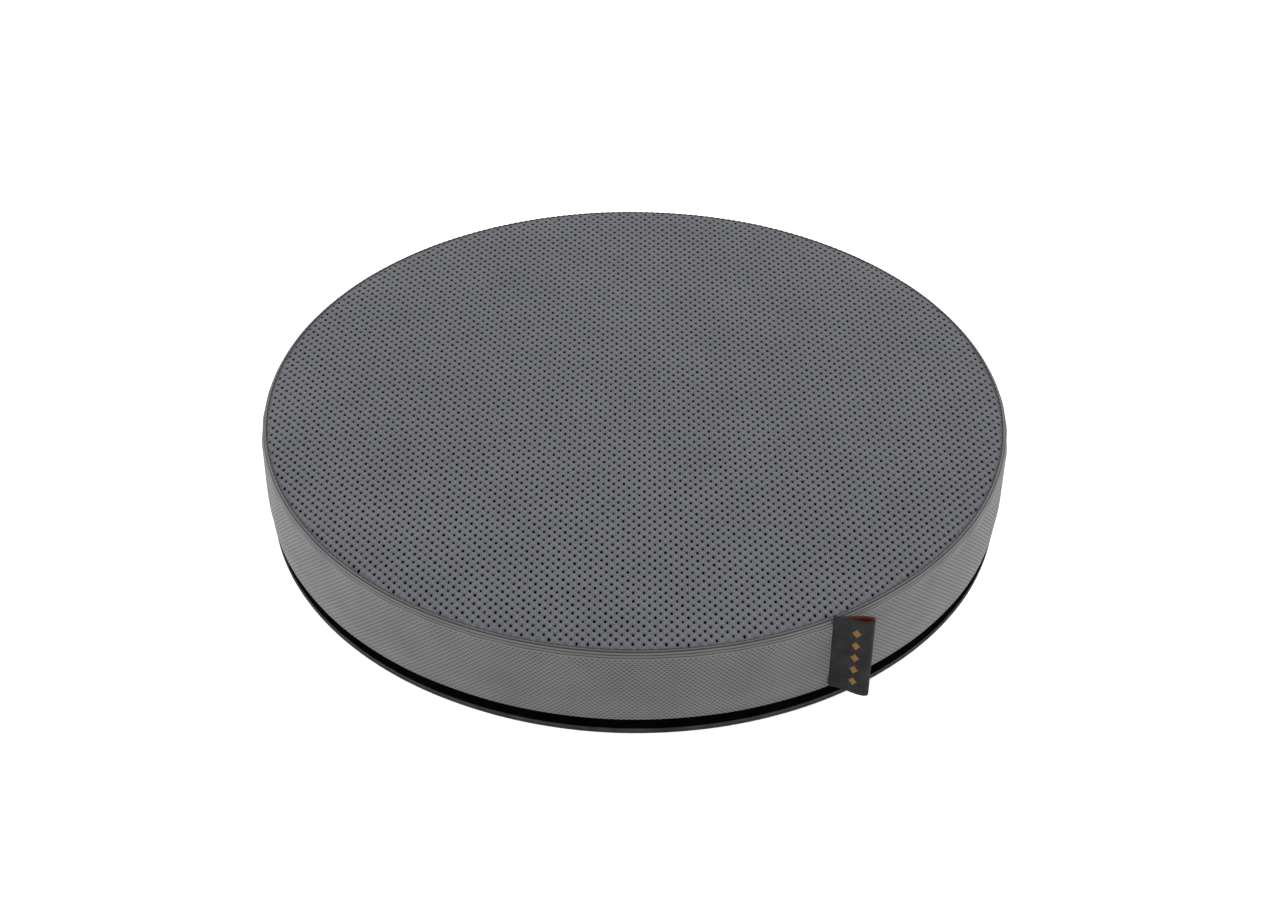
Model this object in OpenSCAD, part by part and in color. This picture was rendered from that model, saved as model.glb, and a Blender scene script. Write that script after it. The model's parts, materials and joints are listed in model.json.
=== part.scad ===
// Round wobble cushion: a zipped fabric cover over foam pads and a lens-shaped air cell.
// The origin is the centre of the underside. +Z is up and -Y is the front. Millimetres.

/* [Cushion] */
// Widest diameter of the cushion
cushion_d = 360; // [350:5:400]
// Height from the floor to the seat surface
cushion_h = 49.5; // [48:0.5:56]

/* [Cover] */
// Thickness of the padded fabric round the side
band_t = 2.2; // [1.6:0.1:2.4]
// Thickness of the perforated seat fabric
mesh_t = 1; // [0.8:0.1:1.2]
// Thickness of the black lining under the seat fabric
liner_t = 0.6; // [0.4:0.1:0.8]
// Thickness of the grip fabric underneath
grip_t = 1; // [0.6:0.1:1.1]
// Height of the grey hem that stands on the floor
hem_h = 3.1; // [2.5:0.1:3.1]
// Height of the black strip between hem and side band
strip_h = 6.5; // [6.3:0.1:7]

/* [Filling] */
// Thickness of the soft foam pad under the seat fabric
comfort_t = 7.9; // [6:0.1:8]
// Thickness of the firm foam pad at the bottom
base_pad_t = 5; // [4:0.1:5.2]
// Thickness of each wall of the air cell
cell_wall = 1; // [0.8:0.1:1.2]
// Radius of the air cell at the outside of its weld
cell_r = 157; // [150:1:158]

/* [Zip] */
// Angle from +X at which the zip starts
zip_start = 13; // [10:1:25]
// Angle from +X at which the zip ends
zip_end = 167; // [155:1:170]
// Length of the pull tab
pull_l = 20; // [14:1:22]

/* [Label] */
// Angle from +X of the label's sewn edge
label_angle = -61.5; // [-75:0.5:-50]
// How far the label stands out from its sewn edge
label_l = 18; // [14:1:22]
// Height of the label
label_h = 40; // [30:1:42]

/* [Hidden] */
$fn = 96;

cushion_r = cushion_d / 2;
gap = 0.2;

// The cover's radii step in a little from the side band to the floor
strip_r = cushion_r - 2.1;
strip_t = 0.9;
hem_r = cushion_r - 2.2;
hem_t = 1.6;
hem_bevel = 0.45;
strip_z = hem_h + 0.1;
strip_top = hem_h + strip_h;

// The layers at the top, from the seat surface down
mesh_z = cushion_h - mesh_t;
mesh_r = cushion_r - 2.7;
band_top = mesh_z - gap;
liner_z = band_top - liner_t;
liner_r = cushion_r - 3.8;
comfort_z = liner_z - gap - comfort_t;
comfort_r = cushion_r - 3.9;
seam_r = cushion_r - 2.1;
seam_thread = 0.35;
edge_round = 0.45;

// The layers at the bottom, from the floor up
base_pad_z = grip_t + gap;
base_pad_r = cushion_r - 7.2;
base_pad_top = base_pad_z + base_pad_t;

// Air cell: a flat middle, a curved shoulder and a flat welded rim
cell_flat_r = 108;
cell_shoulder_r = 149;
cell_low_z = base_pad_top + 0.3;
cell_high_z = comfort_z - 0.3;
weld_z = (cell_low_z + cell_high_z) / 2;
weld_gap = 0.1;
shoulder_steps = 8;

// Edge foam ring, with a pocket at the back for the valve
foam_in = cell_r + 2.5;
foam_out = cushion_r - 3.6;
foam_foot_r = cushion_r - 6.8;
foam_foot_top = strip_top + 0.7;
foam_low = base_pad_top + 0.3;
foam_top = comfort_z - 0.3;
pocket_w = 26;
pocket_h = 22;

// Valve, lying along +Y through the weld
valve_r = 4.6;
valve_bore = 2;
valve_y0 = cell_shoulder_r - 4;
valve_y1 = cell_r + 3;
plug_fit = 0.05;
plug_stem_l = 8;
plug_head_r = 4.2;
plug_head_t = 1.5;

// Zip: the coils lie behind the tapes, and the slider's neck runs in the slit between them
zip_z = strip_z + (strip_top - strip_z) / 2;
zip_slit = 0.9;
coil_h = 1.05;
coil_t = 1.3;
coil_in = strip_r - strip_t - 0.1 - coil_t;
stop_arc = 0.6;
slider_l = 11;
slider_h = strip_h - 0.4;
slider_t = 1.2;
slider_rest = zip_end - 3;
plate_out = strip_r + 0.2;
plate_in = coil_in - 0.3 - slider_t;
neck_h = 0.5;
neck_l = 3;
pin_r = 0.5;
pin_x = plate_out + slider_t + 1.2;
lug_h = 0.8;
lug_l = 2.4;
barrel_r = 1.05;
barrel_bore = 0.56;
pull_t = 1;

// Label
label_turn = 55;
label_fold_r = 2.1;
label_cloth = 0.55;
label_bead = 0.7;
label_slit_x = 4;
label_slit_r = 0.25;
label_pivot_r = cushion_r + 1;
label_z = strip_top - 0.6;

// Height of the side band's outer face above its lower edge, as a share of the whole,
// with how far it stands in from the widest radius
band_profile = [[0, 1], [0.2, 0.45], [0.45, 0], [0.75, 0], [0.9, 0.35], [0.97, 0.8], [1, 1.3]];

// A flat disc from z = low, with its upper and lower edges rounded
module round_disc(r, low, t) {
  translate([0, 0, low])
    rotate_extrude($fn = 180)
      union() {
        square([r - edge_round, t]);
        translate([0, edge_round]) square([r, t - 2 * edge_round]);
        translate([r - edge_round, edge_round]) circle(edge_round, $fn = 24);
        translate([r - edge_round, t - edge_round]) circle(edge_round, $fn = 24);
      }
}

// A ring from r = inner to r = outer, over part of the circle
module arc_ring(inner, outer, low, height, from, to) {
  rotate([0, 0, from])
    translate([0, 0, low])
      rotate_extrude(angle = to - from, $fn = 180)
        translate([inner, 0]) square([outer - inner, height]);
}

module bottom_panel() {
  color("#1b1b1c")
    cylinder(r = hem_r - hem_t - 0.1, h = grip_t, $fn = 180);
}

module hem_binding() {
  inner = hem_r - hem_t;
  color("#3a3a3b")
    rotate_extrude($fn = 180)
      polygon([[inner, 0], [hem_r - hem_bevel, 0], [hem_r, hem_bevel], [hem_r, hem_h - hem_bevel],
               [hem_r - hem_bevel, hem_h], [inner + hem_bevel, hem_h], [inner, hem_h - hem_bevel]]);
}

module front_strip() {
  color("#060606")
    arc_ring(strip_r - strip_t, strip_r, strip_z, strip_top - strip_z - 0.1,
             zip_end + 0.1, 360 + zip_start - 0.1);
}

module zip_tape_lower() {
  color("#060606")
    arc_ring(strip_r - strip_t, strip_r, strip_z, zip_z - zip_slit / 2 - strip_z,
             zip_start, zip_end);
}

module zip_tape_upper() {
  color("#060606")
    arc_ring(strip_r - strip_t, strip_r, zip_z + zip_slit / 2,
             strip_top - 0.1 - zip_z - zip_slit / 2, zip_start, zip_end);
}

module zip_coil_lower() {
  color("#0b0b0b")
    arc_ring(coil_in, coil_in + coil_t, zip_z - zip_slit / 2 - coil_h, coil_h,
             zip_start + 0.5, zip_end - 1);
}

module zip_coil_upper() {
  color("#0b0b0b")
    arc_ring(coil_in, coil_in + coil_t, zip_z + zip_slit / 2, coil_h,
             zip_start + 0.5, zip_end - 1);
}

module zip_end_stops() {
  color("#17181a")
    for (at = [zip_start - 0.3, zip_end - 0.9])
      arc_ring(coil_in, coil_in + coil_t, zip_z - zip_slit / 2 - coil_h, zip_slit + 2 * coil_h,
               at, at + stop_arc);
}

// The slider: an outer and an inner plate, a thin neck, and two lugs with the pull's pin
module zip_slider() {
  color("#26272a")
    rotate([0, 0, slider_rest])
      union() {
        translate([plate_out, -slider_l / 2, zip_z - slider_h / 2])
          cube([slider_t, slider_l, slider_h]);
        translate([plate_in, -slider_l / 2, zip_z - slider_h / 2])
          cube([slider_t, slider_l, slider_h]);
        translate([plate_in, -neck_l / 2, zip_z - neck_h / 2])
          cube([plate_out - plate_in + slider_t, neck_l, neck_h]);
        for (low = [zip_z - slider_h / 2, zip_z + slider_h / 2 - lug_h])
          translate([plate_out, -lug_l / 2, low])
            cube([pin_x - plate_out + 0.9, lug_l, lug_h]);
        translate([pin_x, 0, zip_z - slider_h / 2])
          cylinder(r = pin_r, h = slider_h, $fn = 32);
      }
}

// The pull: a barrel round the slider's pin and a flat tab with a hole at its end
module zip_pull() {
  barrel_h = slider_h - 2 * lug_h - 0.2;
  color("#1d1e20")
    rotate([0, 0, slider_rest])
      translate([pin_x, 0, zip_z - barrel_h / 2])
        difference() {
          union() {
            cylinder(r = barrel_r, h = barrel_h, $fn = 48);
            translate([-pull_t / 2, -(pull_l - barrel_h / 2), 0])
              cube([pull_t, pull_l - barrel_h / 2, barrel_h]);
            translate([-pull_t / 2, -(pull_l - barrel_h / 2), barrel_h / 2])
              rotate([0, 90, 0]) cylinder(r = barrel_h / 2, h = pull_t, $fn = 48);
          }
          translate([0, 0, -1]) cylinder(r = barrel_bore, h = barrel_h + 2, $fn = 48);
          translate([-pull_t, -(pull_l - barrel_h / 2), barrel_h / 2])
            rotate([0, 90, 0]) cylinder(r = barrel_h / 4, h = 2 * pull_t, $fn = 32);
        }
}

// The padded side of the cover, nearly upright and rolled in at its top edge
module side_band() {
  face_h = band_top - strip_top;
  outer = [for (p = band_profile) [cushion_r - p[1], strip_top + p[0] * face_h]];
  inner = [for (i = [len(band_profile) - 1:-1:0])
             [cushion_r - band_t - band_profile[i][1], strip_top + band_profile[i][0] * face_h]];
  color("#828282")
    rotate_extrude($fn = 180)
      polygon(concat(outer, inner));
}

module mesh_top() {
  color("#66676e")
    round_disc(mesh_r, mesh_z, mesh_t);
}

module top_seam() {
  color("#3c3c40")
    rotate_extrude($fn = 180)
      translate([seam_r, mesh_z + mesh_t / 2 - seam_thread]) circle(seam_thread, $fn = 16);
}

module liner() {
  color("#0d0d0f")
    translate([0, 0, liner_z]) cylinder(r = liner_r, h = liner_t, $fn = 180);
}

// The label: a strip folded back on itself, open at the top, sewn along one upright edge
module label() {
  tip = label_l - label_fold_r;
  color("#35373a")
    rotate([0, 0, label_angle])
      translate([label_pivot_r, 0, label_z])
        rotate([0, 0, label_turn])
          union() {
            cylinder(r = label_bead, h = label_h, $fn = 32);
            linear_extrude(label_h)
              difference() {
                hull() {
                  circle(label_bead - 0.05, $fn = 24);
                  translate([tip, 0]) circle(label_fold_r, $fn = 32);
                }
                hull() {
                  translate([label_slit_x, 0]) circle(label_slit_r, $fn = 24);
                  translate([tip, 0]) circle(label_fold_r - label_cloth, $fn = 32);
                }
              }
          }
}

module base_pad() {
  color("#54575c")
    translate([0, 0, base_pad_z]) cylinder(r = base_pad_r, h = base_pad_t, $fn = 180);
}

// The ring of foam between the air cell and the side band, with the valve's pocket cut out
module edge_foam() {
  color("#d9d6c8")
    difference() {
      rotate_extrude($fn = 180)
        polygon([[foam_in, foam_low], [foam_foot_r, foam_low], [foam_foot_r, foam_foot_top],
                 [foam_out, foam_foot_top], [foam_out, foam_top], [foam_in, foam_top]]);
      translate([-pocket_w / 2, foam_in - 10, weld_z - pocket_h / 2])
        cube([pocket_w, foam_out - foam_in + 20, pocket_h]);
    }
}

module comfort_pad() {
  color("#d9d6c8")
    translate([0, 0, comfort_z]) cylinder(r = comfort_r, h = comfort_t, $fn = 180);
}

// Points of one wall of the air cell, from its middle to its weld, on a quarter cosine
function shoulder(z_flat, z_weld) =
  [for (i = [0:shoulder_steps])
     let (t = i / shoulder_steps)
     [cell_flat_r + (cell_shoulder_r - cell_flat_r) * t,
      z_flat + (z_weld - z_flat) * (1 - cos(180 * t)) / 2]];

// One wall of the air cell, as a closed sheet of even height, cut clear of the valve
module cell_sheet(z_flat, z_weld) {
  line = concat([[0, z_flat]], shoulder(z_flat, z_weld), [[cell_r, z_weld]]);
  back = [for (i = [len(line) - 1:-1:0]) line[i] + [0, cell_wall]];
  difference() {
    rotate_extrude($fn = 180)
      polygon(concat(line, back));
    translate([0, valve_y0 - 0.2, weld_z])
      rotate([-90, 0, 0]) cylinder(r = valve_r + 0.2, h = cell_r, $fn = 64);
  }
}

module cell_lower_sheet() {
  color("#2e6f9e")
    cell_sheet(cell_low_z, weld_z - weld_gap / 2 - cell_wall);
}

module cell_upper_sheet() {
  color("#3a86bd")
    cell_sheet(cell_high_z - cell_wall, weld_z + weld_gap / 2);
}

module valve_body() {
  color("#23557a")
    translate([0, valve_y0, weld_z])
      rotate([-90, 0, 0])
        difference() {
          cylinder(r = valve_r, h = valve_y1 - valve_y0, $fn = 64);
          translate([0, 0, -1]) cylinder(r = valve_bore, h = valve_y1 - valve_y0 + 2, $fn = 64);
        }
}

module valve_plug() {
  color("#e8e8e4")
    translate([0, valve_y1 - plug_stem_l, weld_z])
      rotate([-90, 0, 0])
        union() {
          cylinder(r = valve_bore - plug_fit, h = plug_stem_l + 0.2, $fn = 64);
          translate([0, 0, plug_stem_l + 0.1]) cylinder(r = plug_head_r, h = plug_head_t, $fn = 64);
        }
}

bottom_panel();
hem_binding();
front_strip();
zip_tape_lower();
zip_tape_upper();
zip_coil_lower();
zip_coil_upper();
zip_end_stops();
zip_slider();
zip_pull();
side_band();
mesh_top();
top_seam();
liner();
label();
base_pad();
edge_foam();
comfort_pad();
cell_lower_sheet();
cell_upper_sheet();
valve_body();
valve_plug();
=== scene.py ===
"""A round wobble cushion: the looks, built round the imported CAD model. Metres, +Z up, -Y to the front."""

import json
import math

import bmesh
import bpy
import numpy as np
from mathutils import Matrix, Vector
from mathutils.bvhtree import BVHTree


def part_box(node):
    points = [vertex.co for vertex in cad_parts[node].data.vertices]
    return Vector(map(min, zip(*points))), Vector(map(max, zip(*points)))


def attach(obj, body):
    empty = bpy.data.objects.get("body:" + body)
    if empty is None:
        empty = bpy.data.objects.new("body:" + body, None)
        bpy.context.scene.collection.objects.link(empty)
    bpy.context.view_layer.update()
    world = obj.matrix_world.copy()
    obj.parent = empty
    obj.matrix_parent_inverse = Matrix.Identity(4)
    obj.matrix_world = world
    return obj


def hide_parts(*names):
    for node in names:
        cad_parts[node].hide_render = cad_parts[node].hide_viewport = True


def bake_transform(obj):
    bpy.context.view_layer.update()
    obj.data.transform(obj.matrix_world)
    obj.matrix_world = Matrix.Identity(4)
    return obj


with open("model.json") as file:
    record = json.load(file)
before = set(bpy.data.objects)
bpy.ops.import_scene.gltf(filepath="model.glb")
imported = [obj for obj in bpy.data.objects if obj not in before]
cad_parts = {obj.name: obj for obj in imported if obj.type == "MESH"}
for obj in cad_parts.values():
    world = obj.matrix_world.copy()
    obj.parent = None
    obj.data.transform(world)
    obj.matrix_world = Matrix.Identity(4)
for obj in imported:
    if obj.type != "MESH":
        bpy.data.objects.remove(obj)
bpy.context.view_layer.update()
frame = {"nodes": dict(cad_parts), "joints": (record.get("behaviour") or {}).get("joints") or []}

MM = 0.001
TURN = 2 * math.pi


# ---------------------------------------------------------------- sizes, all worked out from the frame
def low(node):
    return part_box(node)[0]


def high(node):
    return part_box(node)[1]


WIDE_R = (high("side_band")[0] - low("side_band")[0]) / 2
BAND_LOW = low("side_band")[2]
BAND_T = 2.2 * MM
SEAT_TOP = high("mesh_top")[2]
SEAT_R = high("mesh_top")[0]
SEAT_FLAT = SEAT_TOP - 0.6 * MM
SEAM_R = SEAT_R + 0.1 * MM
HEM_R = high("hem_binding")[0]
HEM_TOP = high("hem_binding")[2]
PIVOT = {joint["name"]: Vector(joint["pos_m"]) for joint in frame["joints"] if "pos_m" in joint}

DIMPLES_ROUND = 462
DIMPLE_ROW = 2.26 * MM
DIMPLE_DEPTH = 0.2 * MM
STEPS_PER_DIMPLE = 4
BAND_TOP = SEAT_TOP - 0.6 * MM

# Heights, as shares, where the side fabric is cut into rings, one for each joint: sinking, then the two tilts
BAND_SHARES = (0.0, 0.285, 0.64, 1.0)
PULL_R = math.hypot(*PIVOT["pull_flip"][:2])
PULL_TURN = math.atan2(PIVOT["pull_flip"][1], PIVOT["pull_flip"][0])
ZIP_Z = PIVOT["pull_flip"][2]
BODY_PAIRS = (("base", "air_cell"), ("air_cell", "cell_top"), ("cell_top", "seat"))


# ---------------------------------------------------------------- camera, lights and floor
def make_camera():
    """The camera stands in front of the cushion and looks down at it."""
    elevation, distance, target_z = math.radians(36.84), 1.0506, 30 * MM
    pan, tilt, roll = (math.radians(angle) for angle in (-0.149, -0.551, 0.493))
    data = bpy.data.cameras.new("camera")
    data.sensor_width = 36
    data.lens = 60.17
    camera = bpy.data.objects.new("camera", data)
    place = Vector((0, -distance * math.cos(elevation), target_z + distance * math.sin(elevation)))
    turn = Matrix.Rotation(math.pi / 2 - elevation, 4, "X") @ Matrix.Rotation(pan, 4, "Y")
    turn = turn @ Matrix.Rotation(tilt, 4, "X") @ Matrix.Rotation(roll, 4, "Z")
    camera.matrix_world = Matrix.Translation(place) @ turn
    bpy.context.scene.collection.objects.link(camera)
    bpy.context.scene.camera = camera


def area_light(name, place, size, power):
    """A soft box that points at the cushion."""
    data = bpy.data.lights.new(name, "AREA")
    data.shape = "RECTANGLE"
    data.size, data.size_y = size
    data.energy = power
    light = bpy.data.objects.new(name, data)
    light.location = place
    light.rotation_mode = "QUATERNION"
    light.rotation_quaternion = (-Vector(place)).to_track_quat("-Z", "Y")
    bpy.context.scene.collection.objects.link(light)


def make_studio():
    """Two large soft boxes at the sides, a weaker one above, and a pale surround."""
    area_light("left_box", (-1.5, -0.25, 0.55), (1.3, 1.0), 17)
    area_light("right_box", (1.5, -0.25, 0.55), (1.3, 1.0), 17)
    area_light("top_box", (0, 0.3, 1.7), (1.6, 1.2), 5)
    world = bpy.data.worlds.new("surround")
    world.use_nodes = True
    background = world.node_tree.nodes["Background"]
    background.inputs["Color"].default_value = (1, 1, 1, 1)
    background.inputs["Strength"].default_value = 1.0
    bpy.context.scene.world = world
    bpy.context.scene.view_settings.view_transform = "Standard"
    half = 3.0
    corners = [(-half, -half, 0), (half, -half, 0), (half, half, 0), (-half, half, 0)]
    mesh = bpy.data.meshes.new("floor")
    mesh.from_pydata(corners, [], [(0, 1, 2, 3)])
    floor = bpy.data.objects.new("floor", mesh)
    bpy.context.scene.collection.objects.link(floor)
    mesh.materials.append(floor_paint())


# ---------------------------------------------------------------- materials
class Paint:
    """A Principled material with short calls for the nodes that the fabrics share."""

    def __init__(self, name, **sockets):
        self.material = bpy.data.materials.new(name)
        self.material.use_nodes = True
        self.tree = self.material.node_tree
        self.shader = self.tree.nodes["Principled BSDF"]
        for socket, value in sockets.items():
            self.shader.inputs[socket.replace("_", " ")].default_value = value

    def node(self, kind, **settings):
        made = self.tree.nodes.new(kind)
        for key, value in settings.items():
            setattr(made, key, value)
        return made

    def put(self, value, socket):
        if hasattr(value, "links"):
            self.tree.links.new(value, socket)
        else:
            socket.default_value = value

    def math(self, operation, a, b=0.0):
        made = self.node("ShaderNodeMath", operation=operation)
        self.put(a, made.inputs[0])
        self.put(b, made.inputs[1])
        return made.outputs[0]

    def total(self, *terms):
        """The sum of (value, weight) terms."""
        sums = [self.math("MULTIPLY", value, weight) if weight != 1 else value for value, weight in terms]
        while len(sums) > 1:
            sums[:2] = [self.math("ADD", sums[0], sums[1])]
        return sums[0]

    def place(self):
        """Object coordinates, in metres."""
        return self.node("ShaderNodeTexCoord").outputs["Object"]

    def parts(self, vector):
        """The three parts of a vector."""
        made = self.node("ShaderNodeSeparateXYZ")
        self.tree.links.new(vector, made.inputs[0])
        return made.outputs[:3]

    def stretched(self, scale):
        """Object coordinates, scaled along each axis."""
        made = self.node("ShaderNodeMapping")
        made.inputs["Scale"].default_value = scale
        self.tree.links.new(self.place(), made.inputs["Vector"])
        return made.outputs[0]

    def uv(self):
        """The weave coordinates of a piece as (along, across)."""
        return self.parts(self.node("ShaderNodeUVMap", uv_map="weave").outputs[0])[:2]

    def around(self):
        """Distance round the Z axis and height, in millimetres, from object coordinates."""
        x, y, z = self.parts(self.place())
        angle = self.math("ARCTAN2", y, x)
        return self.math("MULTIPLY", angle, WIDE_R / MM), self.math("MULTIPLY", z, 1 / MM)

    def noise(self, size, detail=3.0, vector=None, rough=0.5):
        """Noise with features of about size metres, from 0 to 1."""
        made = self.node("ShaderNodeTexNoise")
        made.inputs["Scale"].default_value = 1 / size
        made.inputs["Detail"].default_value = detail
        made.inputs["Roughness"].default_value = rough
        self.put(vector or self.place(), made.inputs["Vector"])
        return made.outputs["Fac"]

    def cells(self, size):
        made = self.node("ShaderNodeTexVoronoi", feature="F1")
        made.inputs["Scale"].default_value = 1 / size
        self.put(self.place(), made.inputs["Vector"])
        return made.outputs["Distance"]

    def ripple(self, along, turns):
        """A cosine from -1 to 1 that repeats turns times for each unit of along."""
        return self.math("COSINE", self.math("MULTIPLY", along, turns * TURN))

    def ramp(self, factor, *stops):
        """A colour ramp through (position, colour) stops."""
        made = self.node("ShaderNodeValToRGB")
        elements = made.color_ramp.elements
        while len(elements) < len(stops):
            elements.new(0.5)
        for element, (position, colour) in zip(elements, stops):
            element.position = position
            element.color = (*colour, 1)
        self.put(factor, made.inputs[0])
        return made.outputs[0]

    def span(self, factor, low_out, high_out, low_in=0.0, high_in=1.0):
        made = self.node("ShaderNodeMapRange")
        for socket, value in zip(made.inputs[1:5], (low_in, high_in, low_out, high_out)):
            socket.default_value = value
        self.put(factor, made.inputs[0])
        return made.outputs[0]

    def colour(self, value):
        self.put(value, self.shader.inputs["Base Color"])

    def rough(self, value):
        self.put(value, self.shader.inputs["Roughness"])

    def bump(self, height, depth, strength):
        """Relief of depth metres. Gives back the finished material."""
        made = self.node("ShaderNodeBump")
        made.inputs["Strength"].default_value = strength
        made.inputs["Distance"].default_value = depth
        self.put(height, made.inputs["Height"])
        self.put(made.outputs[0], self.shader.inputs["Normal"])
        return self.material


def floor_paint():
    """White paper, lit from below a little so that the cushion throws hardly any shadow."""
    paint = Paint("floor_paper", Roughness=0.9, Emission_Strength=0.42)
    paint.shader.inputs["Emission Color"].default_value = (1, 1, 1, 1)
    paint.colour(paint.ramp(paint.noise(0.4), (0.3, grey(0.90)), (0.7, grey(0.92))))
    return paint.bump(paint.noise(2 * MM), 0.02 * MM, 0.2)


def seat_knit():
    """Bluish grey warp knit: fine ribs and courses, painted shade round the holes, slow changes of tone."""
    paint = Paint("seat_knit", Sheen_Weight=0.12, Sheen_Roughness=0.5)
    x, y, _ = paint.parts(paint.place())
    loops = paint.total((paint.ripple(x, 1 / WALE), 0.6), (paint.ripple(y, 1 / COURSE), 0.4))
    fuzz = paint.noise(0.35 * MM, 2.0)
    height = paint.total((loops, 1), (fuzz, 1.4))
    # Painted shade: the knit's colour is darkened round each hole, as if shade fell into it.
    painted_hole_shade = paint.math("MULTIPLY", paint.ripple(x, 1 / HOLE_PITCH), paint.ripple(y, 0.5 / HOLE_ROW))
    tone = paint.total((paint.noise(30 * MM, 4.0), 0.14), (loops, 0.13), (fuzz, 0.85), (painted_hole_shade, -0.11))
    dark, light = (0.026, 0.028, 0.034), (0.116, 0.119, 0.137)
    paint.colour(paint.ramp(tone, (0.32, dark), (0.755, light)))
    paint.rough(paint.span(fuzz, 0.78, 0.95))
    return paint.bump(height, 0.06 * MM, 0.6)


def band_knit():
    """Neutral grey spacer knit. Its dimples carry painted shade, darkest at their bottoms, where they lie
    deepest.
    """
    paint = Paint("band_knit", Sheen_Weight=0.15, Sheen_Roughness=0.45)
    along, across = paint.uv()
    spots = paint.math("MULTIPLY", paint.ripple(along, 1.0), paint.ripple(across, 1.0))
    dimple = paint.total((spots, 0.8), (paint.ripple(across, 2.0), 0.42))
    rows = (BAND_TOP - BAND_LOW) / DIMPLE_ROW
    by_seam = paint.span(across, 0.0, 1.0, rows - 1.7, rows - 1.3)
    elsewhere = paint.math("SUBTRACT", 1.0, by_seam)
    ridges = paint.math("MULTIPLY", paint.ripple(across, 1.85), by_seam)
    dimple = paint.total((paint.math("MULTIPLY", dimple, elsewhere), 1), (ridges, 0.8))
    yarn = paint.ripple(paint.math("ADD", along, across), 4.0)
    twist = paint.ripple(paint.math("SUBTRACT", along, across), 4.0)
    weave = paint.total((yarn, 0.5), (twist, 0.5))
    fuzz = paint.noise(0.3 * MM, 2.0)
    # Painted shade: deep darkens the knit at the bottoms of the dimples; by the seam the same term darkens
    # rows of stripes instead.
    deep = paint.math("POWER", paint.math("MAXIMUM", dimple, 0.0), 1.3)
    drift = paint.math("SUBTRACT", paint.noise(22 * MM, 3.0), 0.5)
    tone = paint.total((0.78, 1), (weave, 0.07), (deep, -1.35), (drift, 0.5), (fuzz, 0.16))
    paint.colour(paint.ramp(tone, (0.1, grey(0.012)), (0.95, grey(0.099))))
    paint.rough(paint.span(fuzz, 0.75, 0.95))
    return paint.bump(paint.total((weave, 1), (fuzz, 1.2)), 0.07 * MM, 0.6)


def ribbed(name, dark, light, rib, depth, sheen=0.1, gloss=0.3):
    """Narrow woven tape: ribs along it, crossed by a finer weft."""
    paint = Paint(name, Sheen_Weight=sheen, Sheen_Roughness=0.4, Specular_IOR_Level=gloss)
    along, height = paint.around()
    weave = paint.total((paint.ripple(height, 1 / rib), 1), (paint.ripple(along, 0.7 / rib), 0.6))
    fuzz = paint.noise(0.4 * MM, 2.0)
    tone = paint.total((weave, 0.12), (paint.noise(9 * MM, 3.0), 1))
    paint.colour(paint.ramp(tone, (0.3, dark), (0.8, light)))
    paint.rough(paint.span(fuzz, 0.7, 0.95))
    return paint.bump(paint.math("ADD", weave, fuzz), depth, 0.7)


def plain_cloth(name, dark, light, pitch=0.5 * MM, sheen=0.0):
    """Plain flat weave, from crossed ripples of the object's own X and Y."""
    paint = Paint(name, Sheen_Weight=sheen, Sheen_Roughness=0.5, Specular_IOR_Level=0.1)
    x, y, _ = paint.parts(paint.place())
    weave = paint.math("MULTIPLY", paint.ripple(x, 1 / pitch), paint.ripple(y, 1 / pitch))
    fuzz = paint.noise(0.4 * MM, 2.0)
    tone = paint.total((weave, 0.12), (paint.noise(15 * MM, 3.0), 1))
    paint.colour(paint.ramp(tone, (0.3, dark), (0.75, light)))
    paint.rough(paint.span(fuzz, 0.8, 0.97))
    return paint.bump(paint.math("ADD", weave, fuzz), 0.08 * MM, 0.6)


def ribbon(name, dark, light, sheen):
    """Fine satin ribbon of the label, with its threads along the weave coordinates."""
    paint = Paint(name, Sheen_Weight=sheen, Sheen_Roughness=0.3, Specular_IOR_Level=0.12)
    along, across = paint.uv()
    weave = paint.total((paint.ripple(along, 3.4), 0.6), (paint.ripple(across, 2.4), 0.4))
    fuzz = paint.noise(0.3 * MM, 2.0)
    tone = paint.total((weave, 0.12), (paint.noise(7 * MM, 3.0), 1))
    paint.colour(paint.ramp(tone, (0.3, dark), (0.8, light)))
    paint.rough(paint.span(fuzz, 0.6, 0.85))
    return paint.bump(paint.math("ADD", weave, fuzz), 0.04 * MM, 0.6)


def thread(name, dark, light):
    """Twisted sewing thread."""
    paint = Paint(name, Sheen_Weight=0.2, Sheen_Roughness=0.3)
    along, height = paint.around()
    twist = paint.ripple(paint.total((along, 1), (height, 1.4)), 1 / 0.45)
    fuzz = paint.noise(0.2 * MM, 2.0)
    tone = paint.total((twist, 0.2), (fuzz, 1))
    paint.colour(paint.ramp(tone, (0.3, dark), (0.8, light)))
    paint.rough(paint.span(fuzz, 0.5, 0.75))
    return paint.bump(twist, 0.05 * MM, 0.6)


def foam(name, dark, light, pore):
    """Cut foam: open pores over slow changes of tone."""
    paint = Paint(name, Subsurface_Weight=0.08, Subsurface_Scale=1.5 * MM)
    fine = paint.cells(pore * 0.45)
    holes = paint.total((paint.cells(pore), 1), (fine, 0.6))
    tone = paint.total((holes, 0.7), (paint.noise(30 * MM), 0.4))
    paint.colour(paint.ramp(tone, (0.25, dark), (0.85, light)))
    paint.rough(paint.span(fine, 0.8, 0.98))
    return paint.bump(holes, 0.25 * MM, 0.7)


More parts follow.
